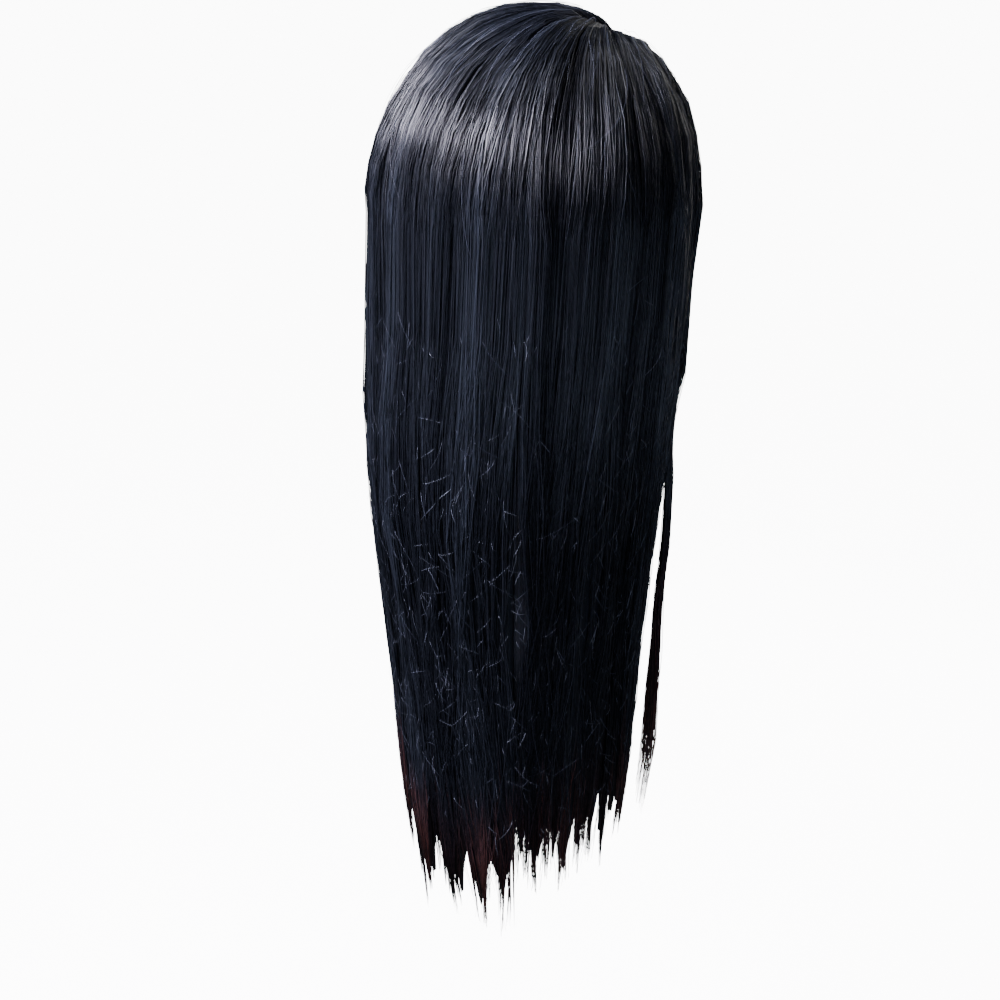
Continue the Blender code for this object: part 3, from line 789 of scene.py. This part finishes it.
def crownFlyaways():
    # long single fibres that left their lock: each arches over the crown beside the others
    look = flyLook
    count = look["count"]
    azimuth = draw.uniform(look["lowest"], look["highest"], count)
    start = draw.uniform(look["startLow"], look["startHigh"], count)[:, None]
    long = draw.uniform(look["shortest"], look["longest"], count)[:, None]
    share = np.linspace(0.0, 1.0, look["points"])[None, :]
    way = np.minimum(start + long * share, 1.0)
    drift = draw.normal(0.0, look["drift"], count)[:, None] * (share**1.5)
    arch = draw.uniform(look["least"], look["most"], count)[:, None]
    arch = arch * np.sin(math.pi * (0.12 + 0.80 * share))
    root = np.clip(np.interp(azimuth, edgeAzimuth, edgeRoot), 0.0, 1.0)[:, None] + 0.0 * share
    paths = crownPoint(root, azimuth[:, None] + drift, way[..., None], -arch, strandLook["seat"])
    paths[..., 2] -= np.maximum(start + long * share - 1.0, 0.0) * look["endFall"]
    radii = look["radius"] * (1.0 - 0.5 * share) * draw.uniform(0.8, 1.2, count)[:, None]
    return paths, radii, draw.uniform(0.0, look["palest"], count)


strandPiece("loose_fibres", *looseFibres(), fibreLoose)
strandPiece("crown_flyaways", *crownFlyaways(), fibreLoose)
print("loose fibres")

capLook = dict(
    seamTurn=101.5, napeTurn=206.0, laceSide=74.0, laceTurn=36.0, wall=0.002,
    threads=92, threadSpan=1.6, threadLean=0.6, threadRadius=0.00014, threadPoints=18, threadSides=3,
    threadStand=0.00005, threadCross=0.00008, shortestStep=0.0002, seamClear=0.2,
    bandRadius=0.0011, bandSides=8, bandPoints=40, napePoints=31,
    weftRadius=0.0008, weftSides=6, weftPoints=40, weftReach=0.94, weftInside=0.0002,
    weftStart=0.10, weftEnd=0.94, weftRows=9,
)
# Side edge of the cap: share of the way from the seam to the nape, and angle towards the ear
capWay = np.array([0.00, 0.45, 0.72, 0.88, 1.00])
capSide = np.array([81.0, 80.0, 72.0, 62.0, 50.0])
# Hairline: angle towards the ear, and share of the turn at the middle
hairlineSide = np.array([0.0, 30.0, 48.0, 62.0, 74.0])
hairlineShare = np.array([1.00, 1.04, 1.02, 0.72, 0.58])


def onHead(turn, side, height):
    # point above the head: turn runs from the face over the crown, side runs to the left ear
    turn, side = np.radians(turn), np.radians(side)
    direction = np.stack(np.broadcast_arrays(
        np.sin(side), -np.cos(side) * np.cos(turn), np.cos(side) * np.sin(turn)
    ), axis=-1)
    point = direction * (headRadius(direction) + height)[..., None]
    point[..., 2] -= head["crown"]
    return point


def ribbons(paths, radius, sides):
    # tubes of one thickness whose outward side faces away from the head's centre
    radii = np.full(paths.shape[:2], radius)
    centre = np.array([0.0, 0.0, -head["crown"]])
    return tubes(paths, radii, draw.uniform(0.0, 1.0, len(paths)), sides, paths - centre)


def addPiece(name, parts, material):
    # a piece of cap or lace from tubes
    points, quads, caps, uv = parts
    quads, caps = facesOut(points, quads, caps)
    piece = ownMesh(name, points, quads, caps, uv, material)
    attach(piece, "root")
    return piece


def laceNet():
    # two families of fine threads that cross on the lace's outside from hairline to seam
    look = capLook
    share = np.linspace(0.0, 1.0, look["threadPoints"])[None, :]
    start = np.linspace(-look["threadSpan"], look["threadSpan"], look["threads"])[:, None]
    paths = []
    for direction in (-1.0, 1.0):
        across = np.clip(start + direction * look["threadLean"] * (share - 0.5) * 2.0, -1.0, 1.0)
        side = across * look["laceSide"]
        front = look["laceTurn"] * readTable(hairlineSide, hairlineShare, np.abs(side))
        turn = front + share * (look["seamTurn"] - look["seamClear"] - front)
        stand = look["wall"] + look["threadStand"] + direction * look["threadCross"]
        paths.append(onHead(turn, side, stand + 0.0 * side))
    paths = np.concatenate(paths)
    moved = np.linalg.norm(np.diff(paths, axis=1), axis=2).min(axis=1) > look["shortestStep"]
    net = ribbons(paths[moved], look["threadRadius"], look["threadSides"])
    return addPiece("lace_net", net, laceThread)


def edgeBand():
    # round elastic sewn along the lower edge of the cap, ear to ear, and under the hairline
    look = capLook
    along = np.linspace(0.0, 1.0, look["bandPoints"])
    turn = look["seamTurn"] + along * (look["napeTurn"] - look["seamTurn"])
    side = readTable(capWay, capSide, along)
    nape = np.linspace(1.0, -1.0, look["napePoints"])[1:-1] * side[-1]
    turns = np.concatenate([turn, np.full(len(nape), look["napeTurn"]), turn[::-1]])
    sides = np.concatenate([side, nape, -side[::-1]])
    path = onHead(turns, sides, np.full(len(turns), look["wall"] / 2.0))[None]
    band = ribbons(path, look["bandRadius"], look["bandSides"])
    return addPiece("cap_edge_band", band, elastic)


def weftTracks():
    # sewn rows inside the cap, from side to side, that hold the hair
    look = capLook
    rows = np.linspace(look["weftStart"], look["weftEnd"], look["weftRows"])[:, None]
    across = np.linspace(-look["weftReach"], look["weftReach"], look["weftPoints"])[None, :]
    side = across * readTable(capWay, capSide, rows)
    turn = look["seamTurn"] + rows * (look["napeTurn"] - look["seamTurn"]) + 0.0 * across
    paths = onHead(turn, side, np.full(side.shape, -look["weftInside"]))
    rows = ribbons(paths, look["weftRadius"], look["weftSides"])
    return addPiece("weft_tracks", rows, elastic)


# Finishes of cap and lace: pattern size, ramp over the pattern, and bump strength and height
finish = dict(
    # woven elastic: matt black with a fine uneven weave, drawn coarser than it is so that it shows
    elastic=dict(
        name="woven_elastic", roughness=0.85, sizeMm=1.1111, values={"Detail": 2.0},
        stops=((0.3, "#0c0c0e"), (0.7, "#26262b")), bump=(0.5, 0.0002),
    ),
    # fine brown monofilament of the lace: slightly glossy, with cloudy paler stretches
    thread=dict(
        name="lace_monofilament", roughness=0.45, sizeMm=3.3333, values={"Detail": 2.0},
        stops=((0.3, "#6b4c3a"), (0.7, "#8d6a52")),
    ),
    # knitted brown hair lace: fine round cells, paler threads round darker openings
    ground=dict(
        name="hair_lace", roughness=0.60, sizeMm=0.71429, cells=True, values={"Randomness": 0.25},
        stops=((0.05, "#7a5945"), (0.20, "#3a281f")), bump=(0.6, 0.0002), inward=True,
    ),
    # knitted stretch net of the cap: black, with open cells that show as dark holes
    net=dict(
        name="stretch_net", roughness=0.80, sizeMm=1.2195, cells=True, values={"Randomness": 0.35},
        stops=((0.0, "#050506"), (1.0, "#2b2b30")), bump=(0.8, 0.0003), thread=(0.06, 0.16),
    ),
)


def patternMaterial(
    name, roughness, sizeMm, values, stops, cells=False, bump=None, inward=False, thread=None
):
    # A material whose colour, and bump where it has one, follow a noise or a cell pattern of this
    # size on Object coordinates. A thread range turns the distance to a cell's edge into thread.
    material, tree, shader = newMaterial(name, Roughness=roughness)
    place = addNode(tree, "ShaderNodeTexCoord")
    pattern = addNode(
        tree, "ShaderNodeTexVoronoi" if cells else "ShaderNodeTexNoise",
        {"feature": "DISTANCE_TO_EDGE"} if cells else None,
        {"Scale": 1000.0 / sizeMm, **values}, {"Vector": place.outputs["Object"]},
    )
    height = pattern.outputs["Distance" if cells else "Fac"]
    if thread:
        ranged = addNode(
            tree, "ShaderNodeMapRange", None,
            {"From Min": thread[0], "From Max": thread[1], "To Min": 1.0, "To Max": 0.0}, {"Value": height},
        )
        height = ranged.outputs["Result"]
    colour = addNode(tree, "ShaderNodeValToRGB", links={"Fac": height}, stops=stops)
    joinInto(tree, shader, {"Base Color": colour.outputs["Color"]})
    if bump:
        raised = addNode(
            tree, "ShaderNodeBump", {"invert": inward}, {"Strength": bump[0], "Distance": bump[1]},
            {"Height": height},
        )
        joinInto(tree, shader, {"Normal": raised.outputs["Normal"]})
    return material


def setSlots(nodes, material):
    # CAD nodes that stay in sight keep their meshes and get this material in their slots
    for node in nodes:
        for slot in bpy.data.objects[node].material_slots:
            slot.material = material


laceThread = patternMaterial(**finish["thread"])
elastic = patternMaterial(**finish["elastic"])
capNodes = ["cap_crown", "cap_nape", "cap_side_right", "cap_side_left", "ear_tab_right", "ear_tab_left"]
setSlots(["lace_front"], patternMaterial(**finish["ground"]))
setSlots(capNodes, patternMaterial(**finish["net"]))
laceNet()
edgeBand()
weftTracks()
print("cap and lace")

studio = dict(
    azimuth=212.0, pitch=24.5, focal=1350.0, distance=0.93, height=0.086,
    axisColumn=537.0, pixels=1000.0,
    floorHeight=-1.25, floorSize=60.0, floorColour="#f4f4f6", floorGlow=11.0,
    skyColour="#dfe6f6", skyStrength=0.10,
)
# Soft boxes: where each stands, how far off, its size, power and colour, and the height it faces
lights = [
    dict(name="window", azimuth=145.0, elevation=30.0, distance=1.1, size=(0.84, 0.44), power=76.0,
         colour=(0.86, 0.83, 1.0), height=-0.05),
    dict(name="fill", azimuth=176.0, elevation=27.0, distance=1.6, size=(0.8, 0.50), power=10.0,
         colour=(0.87, 0.85, 1.0), height=-0.05),
    dict(name="bounce", azimuth=234.0, elevation=-14.0, distance=1.8, size=(1.8, 0.30), power=6.5,
         colour=(0.54, 0.68, 1.0), height=-0.13),
    dict(name="overhead", azimuth=128.0, elevation=58.0, distance=1.6, size=(1.2, 1.2), power=27.0,
         colour=(0.88, 0.88, 1.0), height=0.0),
    dict(name="edge", azimuth=335.0, elevation=25.0, distance=1.6, size=(0.8, 1.0), power=3.5,
         colour=(1.0, 0.98, 0.96), height=-0.15),
    dict(name="front", azimuth=5.0, elevation=4.0, distance=1.8, size=(1.2, 1.2), power=14.0,
         colour=(1.0, 0.98, 0.96), height=-0.25),
]


def turnedMatrix(right, up, back, place):
    # stands at a place with these three directions as its own axes
    return Matrix([[right[i], up[i], back[i], place[i]] for i in range(3)] + [[0, 0, 0, 1]])


def placeCamera():
    # seen from behind and from the wearer's right, from a little above the crown, looking down
    pixels = studio["pixels"]
    azimuth = math.radians(studio["azimuth"])
    pitch = math.radians(studio["pitch"])
    yaw = math.atan((studio["axisColumn"] - pixels / 2.0) / studio["focal"])
    behind = np.array([math.sin(azimuth), -math.cos(azimuth), 0.0])
    aside = np.array([math.cos(azimuth), math.sin(azimuth), 0.0])
    ahead = -math.cos(yaw) * behind - math.sin(yaw) * aside
    right = math.cos(yaw) * aside - math.sin(yaw) * behind
    up = np.array([0.0, 0.0, 1.0])
    forward = math.cos(pitch) * ahead - math.sin(pitch) * up
    upward = math.sin(pitch) * ahead + math.cos(pitch) * up
    camera = bpy.data.objects.new("camera", bpy.data.cameras.new("camera"))
    camera.data.sensor_width = 36.0
    camera.data.lens = studio["focal"] / pixels * camera.data.sensor_width
    camera.data.clip_end = 200.0
    place = behind * studio["distance"] + up * studio["height"]
    camera.matrix_world = turnedMatrix(right, upward, -forward, place)
    bpy.context.scene.collection.objects.link(camera)
    bpy.context.scene.camera = camera


def addArea(name, azimuth, elevation, distance, size, power, colour, height):
    # a soft box that faces the hair from an azimuth and an elevation
    light = bpy.data.lights.new(name, "AREA")
    light.shape = "RECTANGLE"
    light.size, light.size_y = size
    light.energy = power
    light.color = colour
    lamp = bpy.data.objects.new(name, light)
    a, e = math.radians(azimuth), math.radians(elevation)
    back = np.array([math.sin(a) * math.cos(e), -math.cos(a) * math.cos(e), math.sin(e)])
    right = np.array([math.cos(a), math.sin(a), 0.0])
    up = np.cross(back, right)
    place = back * distance + np.array([0.0, 0.0, height])
    lamp.matrix_world = turnedMatrix(right, up, back, place)
    bpy.context.scene.collection.objects.link(lamp)


def addFloor():
    # a pale studio floor that runs past the camera's view
    half = studio["floorSize"] / 2.0
    corners = np.array([[-half, -half, 0.0], [half, -half, 0.0], [half, half, 0.0], [-half, half, 0.0]])
    corners[:, 2] = studio["floorHeight"]
    material, _, _ = newMaterial(
        "studio_paper", Roughness=0.9, Base_Color=linear(studio["floorColour"]),
        Emission_Color=(1.0, 1.0, 1.0, 1.0), Emission_Strength=studio["floorGlow"],
    )
    face, none = np.array([[0, 1, 2, 3]]), np.zeros((0, 3), int)
    floor = ownMesh("studio_floor", corners, face, none, None, material)
    floor.visible_glossy = False
    floor.visible_diffuse = False


def addWorld():
    # even, weak, slightly blue light from all sides
    world = bpy.data.worlds.new("studio")
    bpy.context.scene.world = world
    world.use_nodes = True
    sky = world.node_tree.nodes["Background"]
    sky.inputs["Color"].default_value = linear(studio["skyColour"])
    sky.inputs["Strength"].default_value = studio["skyStrength"]


placeCamera()
addFloor()
addWorld()
for light in lights:
    addArea(**light)
print("studio")

added = {
    item.name: sum(len(face.vertices) - 2 for face in item.data.polygons)
    for item in bpy.context.scene.objects if item.type == "MESH" and item.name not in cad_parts
}
print("triangles", sum(added.values()), max(added.items(), key=lambda pair: pair[1]))
